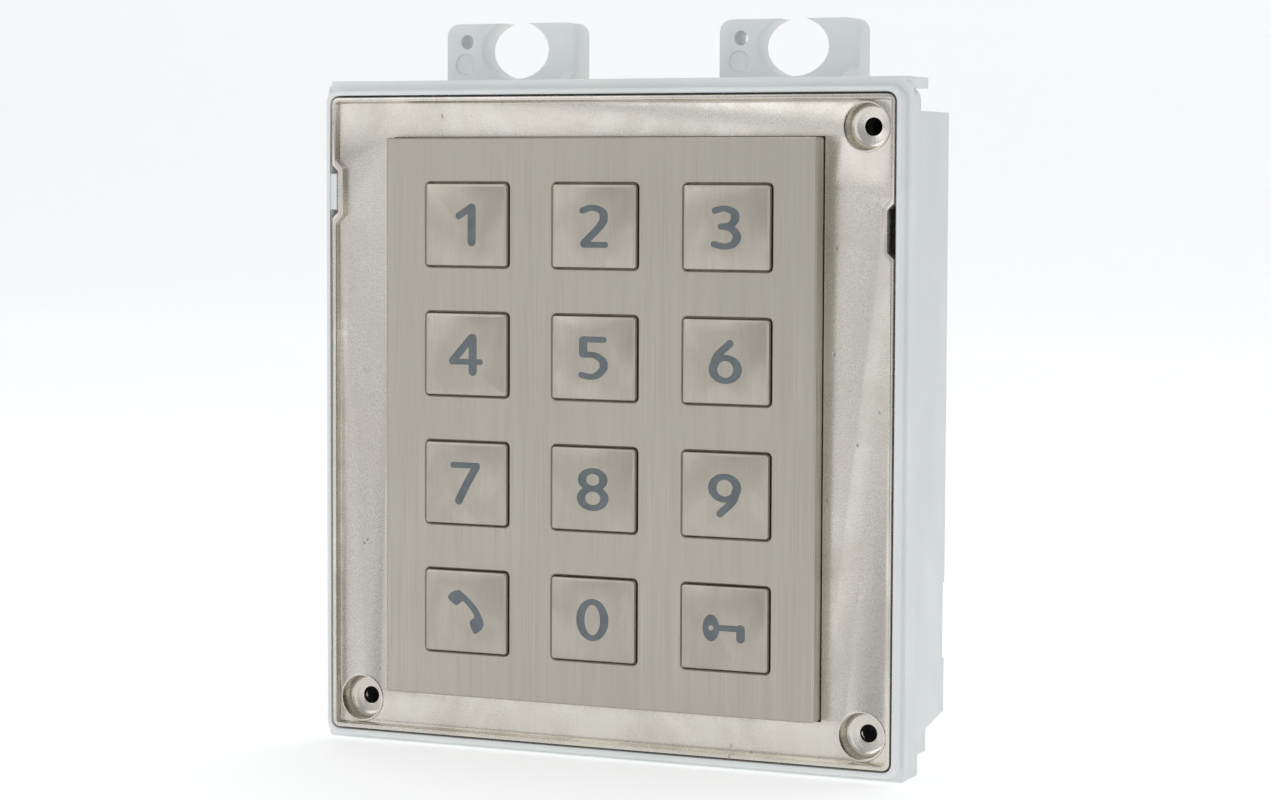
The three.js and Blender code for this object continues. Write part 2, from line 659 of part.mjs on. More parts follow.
function keyMat() {
  const places = keyPlaces();
  const sheet = slab(matX, matZ, matFront, matFront + matSheet);
  const rim = cut(
    slab(matX, matZ, matRimFront, matFront + 0.5),
    slab(matX - matRimWall, matZ - matRimWall, matRimFront - 1, matFront + 1));
  const collars = places.map(([x, z]) => rod(x, z, collarOuter, collarFront, matFront + 0.5, 16));
  const wells = places.map(([x, z]) => rod(x, z, collarInner, collarFront - 1, boardFront + 1, 16));
  const lightHoles = ledPlaces().map(([x, z]) =>
    rod(x, z, ledLength / 2 + innerGap, matFront - 1, boardFront, 12));
  return onPlate(cut(join(sheet, rim, ...collars), ...wells, ...lightHoles));
}

function lightGuide() {
  const x = plateX - plateWall - innerGap;
  const z = plateZ - plateWall - innerGap;
  const sheet = slab(x, z, guideFront, guideFront + guideThickness);
  const holes = keyPlaces().map(([keyX, keyZ]) =>
    rod(keyX, keyZ, collarOuter + innerGap, guideFront - 1, guideFront + guideThickness + 1, 16));
  return onPlate(cut(sheet, ...holes));
}

const ledPlaces = () => [
  [-pitchX / 2, 0],
  [pitchX / 2, 0],
];

function circuitBoard() {
  const sheet = slab(boardX, boardZ, boardFront, boardBack);
  const holes = standoffPlaces().map(([x, z]) =>
    rod(x, z, screwShank + 2 * seat, boardFront - 1, boardBack + 1, 12));
  return cut(sheet, ...holes);
}

function socketSpace(side, grow, depth0, depth1) {
  const x = side * socket.x;
  return block(
    x - socket.width / 2 - grow, x + socket.width / 2 + grow, depth0, depth1,
    socket.z - socket.height / 2 - grow, socket.z + socket.height / 2 + grow);
}

function busSocket(side) {
  const back = bodyDepth - innerGap;
  const shell = socketSpace(side, 0, boardBack + seat, back);
  return cut(shell, socketSpace(side, -socket.wall, back - socket.depth, back + 1));
}

addPart("rear_housing", rearHousing(), materials.housing);
addPart("front_bezel", frontBezel(), materials.nickel);
addPart("bezel_gasket", gasket(), materials.rubber);
addPart("keypad_faceplate", keypadFaceplate(), materials.brushed);
addPart("light_guide", lightGuide(), materials.guide);
addPart("key_mat", keyMat(), materials.silicone);
addPart("circuit_board", circuitBoard(), materials.board);
addPart("bus_socket_left", busSocket(-1), materials.socket);
addPart("bus_socket_right", busSocket(1), materials.socket);
for (const [name, chip] of Object.entries(chips)) {
  const back = boardBack + seat + chip.height;
  addPart(name, block(chip.x - chip.size / 2, chip.x + chip.size / 2, boardBack + seat, back,
    chip.z - chip.size / 2, chip.z + chip.size / 2), materials.chip);
}
ledPlaces().forEach(([x, z], i) =>
  addPart("backlight_led_" + (i + 1), onPlate(block(x - ledLength / 2, x + ledLength / 2,
    boardFront - seat - ledHeight, boardFront - seat, z - ledWidth / 2, z + ledWidth / 2)), materials.led));
lipScrews().forEach(([x, z], i) =>
  addPart("faceplate_screw_" + (i + 1), onPlate(screw(x, z, lipHead, lipBack + seat,
    lipBack - fieldDepth - lipScrewEnd - 2 * seat, true)), materials.steel));
bosses.forEach((place, i) => addPart("screw_seal_" + (i + 1), screwSeal(place), materials.rubber));
standoffPlaces().forEach(([x, z], i) =>
  addPart("board_screw_" + (i + 1),
    screw(x, z, boardHead, boardFront - seat, screwLength, false), materials.steel));
keyPlaces().forEach((place, index) => addKey(index, place));

export default meshes;
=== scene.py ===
import math

import bmesh
import bpy
from mathutils import Matrix, Vector
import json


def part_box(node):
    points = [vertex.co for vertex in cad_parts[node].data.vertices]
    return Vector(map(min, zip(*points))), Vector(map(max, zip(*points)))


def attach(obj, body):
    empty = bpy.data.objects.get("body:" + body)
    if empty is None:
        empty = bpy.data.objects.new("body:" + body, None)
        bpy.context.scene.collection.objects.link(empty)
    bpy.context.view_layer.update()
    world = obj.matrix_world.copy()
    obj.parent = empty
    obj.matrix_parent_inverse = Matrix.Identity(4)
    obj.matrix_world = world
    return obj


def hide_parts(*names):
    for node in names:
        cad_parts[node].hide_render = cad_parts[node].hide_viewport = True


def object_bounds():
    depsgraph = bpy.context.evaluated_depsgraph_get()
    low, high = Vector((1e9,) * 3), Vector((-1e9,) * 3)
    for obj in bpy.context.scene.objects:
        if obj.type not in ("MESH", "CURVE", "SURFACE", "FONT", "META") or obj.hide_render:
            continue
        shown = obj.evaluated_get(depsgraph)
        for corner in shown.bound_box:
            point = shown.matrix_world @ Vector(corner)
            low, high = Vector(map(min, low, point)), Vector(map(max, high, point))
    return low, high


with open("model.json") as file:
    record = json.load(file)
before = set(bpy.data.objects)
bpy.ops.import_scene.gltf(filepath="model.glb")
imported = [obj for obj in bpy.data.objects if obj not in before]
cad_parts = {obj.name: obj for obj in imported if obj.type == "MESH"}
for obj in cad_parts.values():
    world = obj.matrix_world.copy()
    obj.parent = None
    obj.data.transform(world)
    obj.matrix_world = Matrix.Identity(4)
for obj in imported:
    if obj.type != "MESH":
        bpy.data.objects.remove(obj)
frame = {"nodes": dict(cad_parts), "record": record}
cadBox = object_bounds()
nodes = frame["nodes"]
scene = bpy.context.scene
mm = 0.001
keyNames = ["1", "2", "3", "4", "5", "6", "7", "8", "9", "call", "0", "open"]
print("frame loaded,", len(nodes), "nodes")


# Shader helpers: a socket is linked, anything else is set as the value

def addNode(tree, kind, inputs=None, **settings):
    node = tree.nodes.new(kind)
    for name, value in settings.items():
        setattr(node, name, value)
    for name, value in (inputs or {}).items():
        plug(tree, node.inputs[name], value)
    return node


def plug(tree, socket, value):
    if isinstance(value, bpy.types.NodeSocket):
        tree.links.new(value, socket)
    else:
        socket.default_value = value


def newMaterial(name, fixed):
    mat = bpy.data.materials.new(name)
    mat.use_nodes = True
    bsdf = mat.node_tree.nodes["Principled BSDF"]
    for socket, value in fixed.items():
        bsdf.inputs[socket].default_value = value
    return mat, mat.node_tree, bsdf


def patternSpace(tree, size, offset=0.0):
    # One unit of the pattern is size millimetres along each axis
    coords = addNode(tree, "ShaderNodeTexCoord")
    place = addNode(tree, "ShaderNodeMapping", {
        "Vector": coords.outputs["Object"],
        "Location": (offset, offset * 0.7, offset * 1.3),
        "Scale": tuple(1 / (s * mm) for s in size),
    })
    return place.outputs["Vector"]


def grain(tree, size, detail=3.0, roughness=0.55, distortion=0.0, offset=0.0):
    noise = addNode(tree, "ShaderNodeTexNoise", {
        "Vector": patternSpace(tree, size, offset),
        "Scale": 1.0,
        "Detail": detail,
        "Roughness": roughness,
        "Distortion": distortion,
    })
    return noise.outputs["Fac"]


def spots(tree, size, reach):
    cells = addNode(tree, "ShaderNodeTexVoronoi", {
        "Vector": patternSpace(tree, size),
        "Scale": 1.0,
        "Randomness": 1.0,
    })
    return remap(tree, cells.outputs["Distance"], 0.0, reach, 1.0, 0.0)


def remap(tree, value, low, high, toLow, toHigh):
    node = addNode(tree, "ShaderNodeMapRange", {
        "Value": value,
        "From Min": low,
        "From Max": high,
        "To Min": toLow,
        "To Max": toHigh,
    })
    return node.outputs["Result"]


def math2(tree, operation, a, b):
    node = addNode(tree, "ShaderNodeMath", operation=operation)
    plug(tree, node.inputs[0], a)
    plug(tree, node.inputs[1], b)
    return node.outputs[0]


def mixColor(tree, factor, first, second):
    node = addNode(tree, "ShaderNodeMix", data_type="RGBA")
    plug(tree, node.inputs[0], factor)
    plug(tree, node.inputs[6], first)
    plug(tree, node.inputs[7], second)
    return node.outputs[2]


def bump(tree, bsdf, height, depth, strength, under=None):
    inputs = {"Height": height, "Distance": depth * mm, "Strength": strength}
    if under is not None:
        inputs["Normal"] = under
    node = addNode(tree, "ShaderNodeBump", inputs)
    plug(tree, bsdf.inputs["Normal"], node.outputs["Normal"])
    return node.outputs["Normal"]


def rgb(r, g, b):
    return (r, g, b, 1.0)


# Satin nickel on the cast bezel: soft cloudy stains, a fine tooth and scattered pits
bezelFinish = {
    "bright": rgb(0.72, 0.695, 0.63),
    "dull": rgb(0.60, 0.575, 0.515),
    "warm": rgb(0.68, 0.61, 0.555),
    "pit": rgb(0.28, 0.25, 0.21),
    "toothSize": (0.30,) * 3,
    "toothDepth": 0.013,
    "dragSize": (0.35, 2.0, 9.0),
    "stainSize": (13.0,) * 3,
    "warmSize": (9.0, 9.0, 24.0),
    "pitSize": (2.6, 1.0, 4.16),
    "pitReach": 0.12,
    "pitDepth": 0.05,
    "pitPatchSize": (6.0,) * 3,
}


def makeBezelMaterial(finish):
    mat, tree, bsdf = newMaterial("satin_nickel", {"Metallic": 1.0, "Specular IOR Level": 0.5})
    tooth = grain(tree, finish["toothSize"], 2.0)
    drag = grain(tree, finish["dragSize"], 3.0, 0.6, 0.3, 4.0)
    stain = grain(tree, finish["stainSize"], 4.0, 0.6, 0.8, 11.0)
    warm = grain(tree, finish["warmSize"], 2.0, 0.5, 0.4, 23.0)
    stained = remap(tree, stain, 0.35, 0.68, 0.0, 1.0)
    color = mixColor(tree, stained, finish["bright"], finish["dull"])
    color = mixColor(tree, remap(tree, warm, 0.52, 0.75, 0.0, 0.55), color, finish["warm"])
    color = mixColor(tree, remap(tree, drag, 0.45, 0.75, 0.0, 0.25), color, finish["dull"])
    patch = grain(tree, finish["pitPatchSize"], 1.0, 0.5, 0.0, 31.0)
    chance = remap(tree, patch, 0.55, 0.62, 0.0, 1.0)
    pits = math2(tree, "MULTIPLY", spots(tree, finish["pitSize"], finish["pitReach"]), chance)
    color = mixColor(tree, pits, color, finish["pit"])
    plug(tree, bsdf.inputs["Base Color"], color)
    rough = remap(tree, stain, 0.3, 0.7, 0.21, 0.31)
    rougher = remap(tree, tooth, 0.3, 0.7, -0.04, 0.05)
    plug(tree, bsdf.inputs["Roughness"], math2(tree, "ADD", rough, rougher))
    first = bump(tree, bsdf, tooth, finish["toothDepth"], 0.75)
    bump(tree, bsdf, pits, -finish["pitDepth"], 0.6, first)
    return mat


# Long upright brush lines on the raised plate, short turned ones on the screws
plateFinish = {
    "bright": rgb(0.51, 0.485, 0.42),
    "dark": rgb(0.42, 0.397, 0.34),
    "lineWidth": 0.11,
    "lineLength": 22.0,
    "bandWidth": 1.3,
    "cloudSize": (22.0, 10.0, 30.0),
    "lineDepth": 0.006,
    "hairDepth": 0.004,
    "roughness": (0.30, 0.46),
}
steelFinish = {
    **plateFinish,
    "bright": rgb(0.58, 0.585, 0.60),
    "dark": rgb(0.36, 0.365, 0.38),
    "lineWidth": 0.12,
    "lineLength": 1.2,
    "bandWidth": 0.8,
    "roughness": (0.24, 0.40),
}


def makeBrushedMaterial(name, finish):
    mat, tree, bsdf = newMaterial(name, {"Metallic": 1.0})
    width = finish["lineWidth"]
    length = finish["lineLength"]
    lines = grain(tree, (width, width * 3, length), 2.0, 0.6)
    hair = grain(tree, (width * 0.45, 0.4, length * 0.4), 1.0, 0.5, 0.0, 7.0)
    bands = grain(tree, (finish["bandWidth"], 4.0, length * 3), 3.0, 0.6, 0.0, 15.0)
    cloud = grain(tree, finish["cloudSize"], 2.0, 0.5, 0.5, 19.0)
    fine = math2(tree, "MULTIPLY", lines, 0.75)
    mixed = math2(tree, "ADD", fine, math2(tree, "MULTIPLY", bands, 0.25))
    lined = remap(tree, mixed, 0.38, 0.64, 0.0, 1.0)
    color = mixColor(tree, lined, finish["bright"], finish["dark"])
    color = mixColor(tree, remap(tree, cloud, 0.4, 0.75, 0.0, 0.35), color, finish["dark"])
    plug(tree, bsdf.inputs["Base Color"], color)
    plug(tree, bsdf.inputs["Roughness"], remap(tree, mixed, 0.35, 0.65, *finish["roughness"]))
    first = bump(tree, bsdf, lines, finish["lineDepth"], 0.8)
    bump(tree, bsdf, hair, finish["hairDepth"], 0.6, first)
    return mat


# Keys: a fine blasted tooth under a thin clear lacquer, rubbed a little brighter in patches
keyFinish = {
    "face": rgb(0.445, 0.412, 0.355),
    "rubbed": rgb(0.485, 0.455, 0.395),
    "shade": rgb(0.35, 0.32, 0.275),
    "toothSize": (0.13,) * 3,
    "toothDepth": 0.008,
    "smearSize": (0.3, 1.5, 5.0),
    "patchSize": (5.0, 5.0, 7.0),
}


def makeKeyMaterial(finish):
    mat, tree, bsdf = newMaterial("key_nickel", {
        "Metallic": 1.0, "Coat Weight": 0.12, "Coat Roughness": 0.35})
    tooth = grain(tree, finish["toothSize"], 2.0, 0.6)
    smear = grain(tree, finish["smearSize"], 2.0, 0.55, 0.2, 5.0)
    patch = grain(tree, finish["patchSize"], 3.0, 0.55, 0.5, 9.0)
    worn = remap(tree, patch, 0.38, 0.66, 0.0, 1.0)
    color = mixColor(tree, worn, finish["face"], finish["rubbed"])
    color = mixColor(tree, remap(tree, smear, 0.45, 0.8, 0.0, 0.35), color, finish["shade"])
    color = mixColor(tree, remap(tree, tooth, 0.5, 0.72, 0.0, 0.3), color, finish["shade"])
    plug(tree, bsdf.inputs["Base Color"], color)
    plug(tree, bsdf.inputs["Roughness"], remap(tree, patch, 0.3, 0.7, 0.42, 0.33))
    bump(tree, bsdf, tooth, finish["toothDepth"], 0.7)
    return mat


# Plastics and rubbers share one recipe: two shades, a cloud size, a tooth size and its depth
plasticFinishes = {
    "housing_plastic": dict(
        light=rgb(0.80, 0.825, 0.82), dark=rgb(0.75, 0.78, 0.775), cloud=18.0, tooth=0.35,
        depth=0.006, rough=(0.36, 0.46),
        extra={"Subsurface Weight": 0.12, "Subsurface Scale": 0.0012}),
    "legend_resin": dict(
        light=rgb(0.138, 0.163, 0.174), dark=rgb(0.105, 0.126, 0.136), cloud=2.2, tooth=0.2,
        depth=0.004, rough=(0.30, 0.42), extra={}),
    "gasket_foam": dict(
        light=rgb(0.045, 0.045, 0.045), dark=rgb(0.02, 0.02, 0.02), cloud=2.0, tooth=0.25,
        depth=0.03, rough=(0.75, 0.9), extra={}),
    "mat_silicone": dict(
        light=rgb(0.70, 0.72, 0.70), dark=rgb(0.60, 0.62, 0.61), cloud=8.0, tooth=0.3,
        depth=0.006, rough=(0.5, 0.62), extra={"Subsurface Weight": 0.3, "Subsurface Scale": 0.002}),
    "carbon_rubber": dict(
        light=rgb(0.03, 0.03, 0.032), dark=rgb(0.015, 0.015, 0.016), cloud=1.5, tooth=0.15,
        depth=0.01, rough=(0.6, 0.75), extra={}),
    "clear_acrylic": dict(
        light=rgb(0.84, 0.90, 0.91), dark=rgb(0.78, 0.86, 0.88), cloud=25.0, tooth=2.5,
        depth=0.004, rough=(0.06, 0.14), extra={"Transmission Weight": 0.6, "IOR": 1.49}),
    "socket_nylon": dict(
        light=rgb(0.03, 0.031, 0.034), dark=rgb(0.016, 0.017, 0.019), cloud=3.0, tooth=0.3,
        depth=0.012, rough=(0.42, 0.58), extra={}),
    "chip_epoxy": dict(
        light=rgb(0.028, 0.028, 0.03), dark=rgb(0.014, 0.014, 0.016), cloud=2.0, tooth=0.12,
        depth=0.008, rough=(0.5, 0.62), extra={}),
    "lamp_resin": dict(
        light=rgb(0.90, 0.86, 0.62), dark=rgb(0.84, 0.76, 0.45), cloud=1.0, tooth=0.3,
        depth=0.003, rough=(0.15, 0.25), extra={"Subsurface Weight": 0.2, "Subsurface Scale": 0.0005}),
}


def makePlastic(name, light, dark, cloud, tooth, depth, rough, extra):
    mat, tree, bsdf = newMaterial(name, extra)
    clouds = grain(tree, [cloud] * 3, 3.0, 0.5, 0.4, 3.0)
    fine = grain(tree, [tooth] * 3, 2.0, 0.5)
    color = mixColor(tree, remap(tree, clouds, 0.35, 0.7, 0.0, 1.0), light, dark)
    color = mixColor(tree, remap(tree, fine, 0.5, 0.8, 0.0, 0.25), color, dark)
    plug(tree, bsdf.inputs["Base Color"], color)
    plug(tree, bsdf.inputs["Roughness"], remap(tree, clouds, 0.3, 0.7, *rough))
    bump(tree, bsdf, fine, depth, 0.7)
    return mat


# Green board: solder mask over copper tracks that show as a raised lighter net
boardFinish = {
    "mask": rgb(0.02, 0.115, 0.055),
    "maskLight": rgb(0.024, 0.135, 0.062),
    "maskDark": rgb(0.015, 0.09, 0.045),
    "track": rgb(0.06, 0.24, 0.11),
    "trackStep": 3.2,
    "trackDepth": 0.03,
}


def makeBoardMaterial(finish):
    mat, tree, bsdf = newMaterial("solder_mask", {"Coat Weight": 0.4, "Coat Roughness": 0.12})
    coords = addNode(tree, "ShaderNodeTexCoord")
    place = addNode(tree, "ShaderNodeMapping", {
        "Vector": coords.outputs["Object"],
        "Rotation": (math.pi / 2, 0, 0),
        "Scale": (1 / (finish["trackStep"] * mm),) * 3,
    })
    tracks = addNode(tree, "ShaderNodeTexBrick", {
        "Vector": place.outputs["Vector"],
        "Scale": 1.0,
        "Mortar Size": 0.05,
        "Brick Width": 0.9,
        "Row Height": 0.35,
        "Color1": finish["mask"],
        "Color2": finish["maskLight"],
        "Mortar": finish["track"],
    })
    cloud = grain(tree, [9.0] * 3, 2.0, 0.5, 0.0, 2.0)
    clouded = remap(tree, cloud, 0.35, 0.7, 0.0, 0.5)
    color = mixColor(tree, clouded, tracks.outputs["Color"], finish["maskDark"])
    plug(tree, bsdf.inputs["Base Color"], color)
    plug(tree, bsdf.inputs["Roughness"], remap(tree, cloud, 0.3, 0.7, 0.28, 0.42))
    bump(tree, bsdf, tracks.outputs["Fac"], finish["trackDepth"], 0.8)
    return mat


finishes = {name: makePlastic(name, **values) for name, values in plasticFinishes.items()}
finishes["satin_nickel"] = makeBezelMaterial(bezelFinish)
finishes["brushed_nickel"] = makeBrushedMaterial("brushed_nickel", plateFinish)
finishes["key_nickel"] = makeKeyMaterial(keyFinish)
finishes["solder_mask"] = makeBoardMaterial(boardFinish)
finishes["zinc_steel"] = makeBrushedMaterial("zinc_steel", steelFinish)
print("materials made:", len(finishes))

slotFinish = {
    "housing": "housing_plastic",
    "bezel": "satin_nickel",
    "gasket": "gasket_foam",
    "faceplate": "brushed_nickel",
    "key_cap": "key_nickel",
    "key_legend": "legend_resin",
    "contact_pad": "carbon_rubber",
    "key_mat": "mat_silicone",
    "light_guide": "clear_acrylic",
    "circuit_board": "solder_mask",
    "socket": "socket_nylon",
    "chip": "chip_epoxy",
    "led": "lamp_resin",
    "screw": "zinc_steel",
}
nodeSlot = {entry["node"]: entry["material_slot"] for entry in frame["record"]["subparts"]}
for name, node in nodes.items():
    node.data.materials.clear()
    node.data.materials.append(finishes[slotFinish[nodeSlot[name]]])


# Mesh helpers: corners that lie closer than the weld, in metres, become one
weld = 1e-6


def addObject(name, mesh):
    obj = bpy.data.objects.new(name, mesh)
    scene.collection.objects.link(obj)
    return obj


def applied(obj):
    # The modifiers' result becomes the object's own mesh
    bpy.context.view_layer.update()
    graph = bpy.context.evaluated_depsgraph_get()
    mesh = bpy.data.meshes.new_from_object(obj.evaluated_get(graph))
    old = obj.data
    obj.modifiers.clear()
    obj.data = mesh
    bpy.data.meshes.remove(old)
    return obj


def smoothShade(mesh, angle):
    mesh.shade_smooth()
    mesh.set_sharp_from_angle(angle=math.radians(angle))


def copyOf(nodeName, pieceName):
    # A node's mesh built afresh, so that none of its own normals come along
    shape = bmesh.new()
    shape.from_mesh(nodes[nodeName].data)
    bmesh.ops.remove_doubles(shape, verts=shape.verts, dist=weld)
    shape.verts.index_update()
    faces = [[vert.index for vert in face.verts] for face in shape.faces]
    mesh = bpy.data.meshes.new(pieceName)
    mesh.from_pydata([vert.co.copy() for vert in shape.verts], [], faces)
    shape.free()
    mesh.materials.append(nodes[nodeName].data.materials[0])
    return addObject(pieceName, mesh)


def takesPlace(piece, nodeName):
    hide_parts(nodeName)
    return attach(piece, "module")


def crispEdges(nodeName, pieceName, angle):
    # Chamfers stay flat strips and round corners are smoothed
    piece = copyOf(nodeName, pieceName)
    smoothShade(piece.data, angle)
    return takesPlace(piece, nodeName)


def softEdges(nodeName, pieceName, width, angle):
    piece = copyOf(nodeName, pieceName)
    soft = piece.modifiers.new("soft edges", "BEVEL")
    soft.width = width * mm
    soft.segments = 2
    soft.limit_method = "ANGLE"
    soft.angle_limit = math.radians(angle)
    soft.use_clamp_overlap = False
    soft.harden_normals = False
    applied(piece)
    smoothShade(piece.data, shellSizes["smooth angle"])
    return takesPlace(piece, nodeName)


# Edge radii in millimetres, angles in degrees
shellSizes = {
    "housing edge": 0.14,
    "bezel edge": 0.08,
    "edge angle": 32,
    "smooth angle": 40,
    "plate angle": 30,
}
softEdges("rear_housing", "housing_shell", shellSizes["housing edge"], shellSizes["edge angle"])
softEdges("front_bezel", "bezel_casting", shellSizes["bezel edge"], shellSizes["edge angle"])
crispEdges("keypad_faceplate", "raised_plate", shellSizes["plate angle"])
print("shells softened")


# Key caps, one mesh for each body, from one tree; folds above keyAngle degrees stay crisp
capSizes = {
    "Corner": 0.55,
    "Edge Round": 0.5,
    "Flange Reach": 0.85,
    "Flange Thickness": 1.0,
    "Stem Radius": 2.8,
    "Stem Overlap": 0.4,
    "Depth": 2.8,
}
keyAngle = 35


def newTree(name, inputs):
    tree = bpy.data.node_groups.new(name, "GeometryNodeTree")
    tree.interface.new_socket("Geometry", in_out="OUTPUT", socket_type="NodeSocketGeometry")
    for label, kind in inputs.items():
        tree.interface.new_socket(label, in_out="INPUT", socket_type="NodeSocket" + kind)
    start = tree.nodes.new("NodeGroupInput")
    end = tree.nodes.new("NodeGroupOutput")
    return tree, start.outputs, end.inputs["Geometry"]


def runTree(tree, name, values):
    obj = addObject(name, bpy.data.meshes.new(name))
    modifier = obj.modifiers.new(tree.name, "NODES")
    modifier.node_group = tree
    for item in tree.interface.items_tree:
        if item.in_out == "INPUT":
            modifier[item.identifier] = values[item.name]
    obj.update_tag()
    return applied(obj)


def vector(tree, x=0.0, y=0.0, z=0.0):
    return addNode(tree, "ShaderNodeCombineXYZ", {"X": x, "Y": y, "Z": z}).outputs[0]


def line(tree, start, end):
    node = addNode(tree, "GeometryNodeCurvePrimitiveLine", {
        "Start": vector(tree, *start), "End": vector(tree, *end)})
    return node.outputs[0]


def joined(tree, parts):
    node = addNode(tree, "GeometryNodeJoinGeometry")
    for part in parts:
        tree.links.new(part, node.inputs[0])
    return node.outputs[0]


def moved(tree, geometry, **inputs):
    node = addNode(tree, "GeometryNodeTransform", {"Geometry": geometry, **inputs})
    return node.outputs[0]


def makeCapTree():
    tree, given, result = newTree("key cap", {
        "Width": "Float", "Height": "Float", "Corner": "Float", "Edge Round": "Float",
        "Front": "Float", "Flange Reach": "Float", "Flange Thickness": "Float",
        "Flange Back": "Float", "Stem Radius": "Float", "Stem Back": "Float",
        "Stem Overlap": "Float", "Centre": "Vector", "Material": "Material"})
    edge = given["Edge Round"]
    twice = math2(tree, "MULTIPLY", edge, 2.0)
    outline = addNode(tree, "GeometryNodeCurvePrimitiveQuadrilateral", {
        "Width": math2(tree, "SUBTRACT", given["Width"], twice),
        "Height": math2(tree, "SUBTRACT", given["Height"], twice)})
    path = addNode(tree, "GeometryNodeFilletCurve", {
        "Curve": outline.outputs[0], "Count": 5,
        "Radius": math2(tree, "SUBTRACT", given["Corner"], edge)}, mode="POLY").outputs[0]
    # The side's section: outwards along X, back along Y
    shoulder = math2(tree, "ADD", given["Front"], edge)
    flangeFront = math2(tree, "SUBTRACT", given["Flange Back"], given["Flange Thickness"])
    reach = math2(tree, "ADD", edge, given["Flange Reach"])
    arc = addNode(tree, "GeometryNodeCurveArc", {
        "Resolution": 3, "Radius": edge, "Start Angle": -math.pi / 2, "Sweep Angle": math.pi / 2})
    section = joined(tree, [
        moved(tree, arc.outputs[0], Translation=vector(tree, 0.0, shoulder)),
        line(tree, (edge, shoulder), (edge, flangeFront)),
        line(tree, (edge, flangeFront), (reach, flangeFront)),
        line(tree, (reach, flangeFront), (reach, given["Flange Back"])),
        line(tree, (reach, given["Flange Back"]), (0.0, given["Flange Back"]))])
    side = addNode(tree, "GeometryNodeCurveToMesh", {"Curve": path, "Profile Curve": section})
    face = addNode(tree, "GeometryNodeFillCurve", {"Curve": path}, mode="NGONS").outputs[0]
    front = moved(tree, face, Translation=vector(
        tree, 0.0, 0.0, math2(tree, "MULTIPLY", given["Front"], -1.0)))
    back = moved(tree, face, Translation=vector(
        tree, 0.0, 0.0, math2(tree, "MULTIPLY", given["Flange Back"], -1.0)))
    stemFront = math2(tree, "SUBTRACT", given["Flange Back"], given["Stem Overlap"])
    stem = addNode(tree, "GeometryNodeMeshCylinder", {
        "Vertices": 40, "Radius": given["Stem Radius"],
        "Depth": math2(tree, "SUBTRACT", given["Stem Back"], stemFront)})
    middle = math2(tree, "MULTIPLY", math2(tree, "ADD", given["Stem Back"], stemFront), -0.5)
    stem = moved(tree, stem.outputs["Mesh"], Translation=vector(tree, 0.0, 0.0, middle))
    cap = addNode(tree, "GeometryNodeMergeByDistance", {
        "Geometry": joined(tree, [side.outputs[0], front, back]), "Distance": weld})
    whole = joined(tree, [cap.outputs[0], stem])
    upright = moved(tree, whole, Rotation=(math.pi / 2, 0, 0), Translation=given["Centre"])
    real = addNode(tree, "GeometryNodeRealizeInstances", {"Geometry": upright})
    painted = addNode(tree, "GeometryNodeSetMaterial", {
        "Geometry": real.outputs[0], "Material": given["Material"]})
    tree.links.new(painted.outputs[0], result)
    return tree


# Legends are drawn with a broad pen: heavy upright, light level
pen = {
    "heavy": 1.35,
    "light": 0.85,
    "steps": 9,
    "ends": 10,
    "rings": 56,
    "inlay": 0.36,
    "gap": 0.03,
    "above": 0.5,
    "under": 0.04,
    "sunk": 0.02,
}


def curvePoint(p0, p1, p2, p3, t):
    # The place and the direction on the smooth stretch from p1 to p2
    bend = 2 * p0 - 5 * p1 + 4 * p2 - p3
    twist = 3 * p1 - p0 - 3 * p2 + p3
    at = 0.5 * ((2 * p1) + (p2 - p0) * t + bend * t ** 2 + twist * t ** 3)
    along = 0.5 * ((p2 - p0) + 2 * bend * t + 3 * twist * t ** 2)
    return at, along.normalized()


def openCurve(points, steps):
    line = []
    padded = [tuple(2 * a - b for a, b in zip(points[0], points[1])), *points,
              tuple(2 * a - b for a, b in zip(points[-1], points[-2]))]
    for i in range(len(points) - 1):
        p0, p1, p2, p3 = (Vector(p) for p in padded[i:i + 4])
        for k in range(steps + (i == len(points) - 2)):
            line.append(curvePoint(p0, p1, p2, p3, k / steps))
    return line


def strokeOutline(points, grow):
    line = openCurve(points, pen["steps"] if len(points) > 2 else 1)
    left = []
    right = []
    for at, along in line:
        half = math.hypot(pen["heavy"] * along.y, pen["light"] * along.x) / 2 + grow
        side = Vector((-along.y, along.x)) * half
        left.append(at + side)
        right.append(at - side)

    def roundEnd(at, along, radius):
        start = math.atan2(along.y, along.x) - math.pi / 2
        turns = [start + math.pi * k / pen["ends"] for k in range(1, pen["ends"])]
        return [at + Vector((math.cos(a), math.sin(a))) * radius for a in turns]

    tip, tipWay = line[-1]
    tail, tailWay = line[0]
    tipRadius = (left[-1] - tip).length
    tailRadius = (left[0] - tail).length
    return [*right, *roundEnd(tip, tipWay, tipRadius),
            *reversed(left), *roundEnd(tail, -tailWay, tailRadius)]


def ellipseOutline(x, z, radiusX, radiusZ):
    turns = [2 * math.pi * k / pen["rings"] for k in range(pen["rings"])]
    return [Vector((x + radiusX * math.cos(a), z + radiusZ * math.sin(a))) for a in turns]


